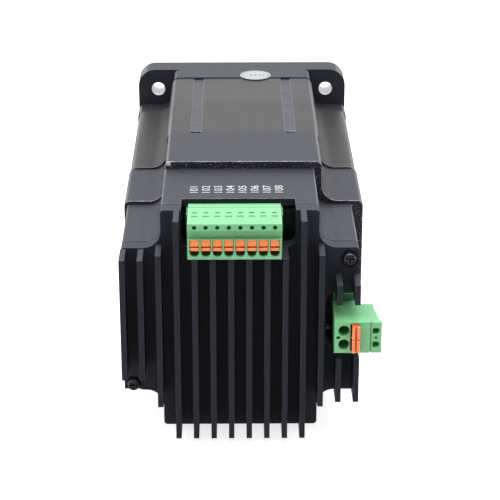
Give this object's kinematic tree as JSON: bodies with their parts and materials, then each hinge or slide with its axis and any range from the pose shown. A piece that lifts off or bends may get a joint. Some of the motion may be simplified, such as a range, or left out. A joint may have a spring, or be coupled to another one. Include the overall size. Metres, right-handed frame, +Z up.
{
  "type": "stepper motor with rear driver module",
  "caption": "Square-flanged stepper motor with a finned driver module on its back, pull-off push-in terminal plugs and a keyed output shaft.",
  "frame": {"origin": "centre of the mounting face of the square flange, on the shaft axis", "axes": "+Y out of the shaft end, +Z up towards the eight-way plug, +X towards the two-way plug"},
  "size_m": [0.0891, 0.2184, 0.0861],
  "materials": {
    "black_paint": "satin black paint",
    "black_anodised": "black anodised aluminium",
    "laminations": "black coated steel laminations",
    "insulator": "moulded nylon",
    "copper_wire": "enamelled copper wire",
    "black_steel": "black oxide steel",
    "ground_steel": "ground steel",
    "bearing_steel": "polished steel",
    "brass": "brass",
    "rotor_iron": "silicon steel",
    "magnet": "sintered magnet",
    "lead_insulation": "lead insulation",
    "rubber": "black rubber",
    "board": "black solder mask",
    "chip": "black moulding compound",
    "plated_steel": "bright plated steel",
    "label": "white printed film",
    "thermal_pad": "grey silicone pad",
    "capacitor_sleeve": "shrink sleeve",
    "header_plastic": "dark green moulded plastic",
    "plug_plastic": "green moulded plastic",
    "button_plastic": "orange moulded plastic"
  },
  "bodies": {
    "motor": {"front_bell": "black_paint", "front_bearing_outer": "bearing_steel", "stator_core": "laminations", "front_insulator": "insulator", "rear_insulator": "insulator", "stator_coils": "copper_wire", "tie_bolts": "black_steel", "rear_bell": "black_paint", "rear_bearing_outer": "bearing_steel", "wave_washer": "bearing_steel", "motor_leads": "lead_insulation", "lead_grommet": "rubber", "encoder_board": "board", "encoder_sensor": "chip", "encoder_screws": "plated_steel", "round_label": "label", "driver_housing": "black_paint", "housing_screws": "plated_steel", "heat_sink": "black_anodised", "heat_sink_screws": "black_steel", "circuit_board": "board", "board_screws": "plated_steel", "thermal_pads": "thermal_pad", "power_transistors": "chip", "bus_capacitors": "capacitor_sleeve", "inductor": "chip", "controller_chip": "chip", "gate_drivers": "chip", "sense_resistors": "chip", "lead_socket": "insulator", "signal_header": "header_plastic", "signal_pins": "plated_steel", "power_header": "header_plastic", "power_pins": "plated_steel"},
    "rotor": {"shaft": "ground_steel", "shaft_key": "ground_steel", "front_rotor_cup": "rotor_iron", "rear_rotor_cup": "rotor_iron", "rotor_magnet": "magnet", "front_bearing_inner": "bearing_steel", "rear_bearing_inner": "bearing_steel", "encoder_magnet": "magnet"},
    "front_ball_set": {"front_bearing_balls": "bearing_steel", "front_bearing_cage": "brass"},
    "rear_ball_set": {"rear_bearing_balls": "bearing_steel", "rear_bearing_cage": "brass"},
    "signal_plug": {"signal_plug": "plug_plastic", "signal_clamps": "plated_steel"},
    "power_plug": {"power_plug": "plug_plastic", "power_clamps": "plated_steel"},
    "signal_button_1": {"signal_button_1": "button_plastic"},
    "signal_button_2": {"signal_button_2": "button_plastic"},
    "signal_button_3": {"signal_button_3": "button_plastic"},
    "signal_button_4": {"signal_button_4": "button_plastic"},
    "signal_button_5": {"signal_button_5": "button_plastic"},
    "signal_button_6": {"signal_button_6": "button_plastic"},
    "signal_button_7": {"signal_button_7": "button_plastic"},
    "signal_button_8": {"signal_button_8": "button_plastic"},
    "power_button_1": {"power_button_1": "button_plastic"},
    "power_button_2": {"power_button_2": "button_plastic"}
  },
  "joints": [
    {"name": "shaft_spin", "type": "hinge", "parent": "motor", "child": "rotor", "pos_m": [0, 0, 0], "axis": [0, 1, 0], "continuous": true},
    {"name": "front_ball_spin", "type": "hinge", "parent": "motor", "child": "front_ball_set", "pos_m": [0, -0.007, 0], "axis": [0, 1, 0], "continuous": true},
    {"name": "rear_ball_spin", "type": "hinge", "parent": "motor", "child": "rear_ball_set", "pos_m": [0, -0.1055, 0], "axis": [0, 1, 0], "continuous": true},
    {"name": "signal_plug_pull", "type": "slide", "parent": "motor", "child": "signal_plug", "axis": [0, -1, 0], "range_m": [0, 0.024]},
    {"name": "power_plug_pull", "type": "slide", "parent": "motor", "child": "power_plug", "axis": [0, -1, 0], "range_m": [0, 0.024]},
    {"name": "signal_button_1_press", "type": "slide", "parent": "signal_plug", "child": "signal_button_1", "axis": [0, 1, 0], "range_m": [0, 0.0015], "stiffness_N_per_m": 800, "springref_m": -0.002},
    {"name": "signal_button_2_press", "type": "slide", "parent": "signal_plug", "child": "signal_button_2", "axis": [0, 1, 0], "range_m": [0, 0.0015], "stiffness_N_per_m": 800, "springref_m": -0.002},
    {"name": "signal_button_3_press", "type": "slide", "parent": "signal_plug", "child": "signal_button_3", "axis": [0, 1, 0], "range_m": [0, 0.0015], "stiffness_N_per_m": 800, "springref_m": -0.002},
    {"name": "signal_button_4_press", "type": "slide", "parent": "signal_plug", "child": "signal_button_4", "axis": [0, 1, 0], "range_m": [0, 0.0015], "stiffness_N_per_m": 800, "springref_m": -0.002},
    {"name": "signal_button_5_press", "type": "slide", "parent": "signal_plug", "child": "signal_button_5", "axis": [0, 1, 0], "range_m": [0, 0.0015], "stiffness_N_per_m": 800, "springref_m": -0.002},
    {"name": "signal_button_6_press", "type": "slide", "parent": "signal_plug", "child": "signal_button_6", "axis": [0, 1, 0], "range_m": [0, 0.0015], "stiffness_N_per_m": 800, "springref_m": -0.002},
    {"name": "signal_button_7_press", "type": "slide", "parent": "signal_plug", "child": "signal_button_7", "axis": [0, 1, 0], "range_m": [0, 0.0015], "stiffness_N_per_m": 800, "springref_m": -0.002},
    {"name": "signal_button_8_press", "type": "slide", "parent": "signal_plug", "child": "signal_button_8", "axis": [0, 1, 0], "range_m": [0, 0.0015], "stiffness_N_per_m": 800, "springref_m": -0.002},
    {"name": "power_button_1_press", "type": "slide", "parent": "power_plug", "child": "power_button_1", "axis": [0, 1, 0], "range_m": [0, 0.0018], "stiffness_N_per_m": 1000, "springref_m": -0.002},
    {"name": "power_button_2_press", "type": "slide", "parent": "power_plug", "child": "power_button_2", "axis": [0, 1, 0], "range_m": [0, 0.0018], "stiffness_N_per_m": 1000, "springref_m": -0.002}
  ],
  "couplings": [
    {"joint": "front_ball_spin", "follows": "shaft_spin", "ratio": 0.382},
    {"joint": "rear_ball_spin", "follows": "shaft_spin", "ratio": 0.385}
  ]
}
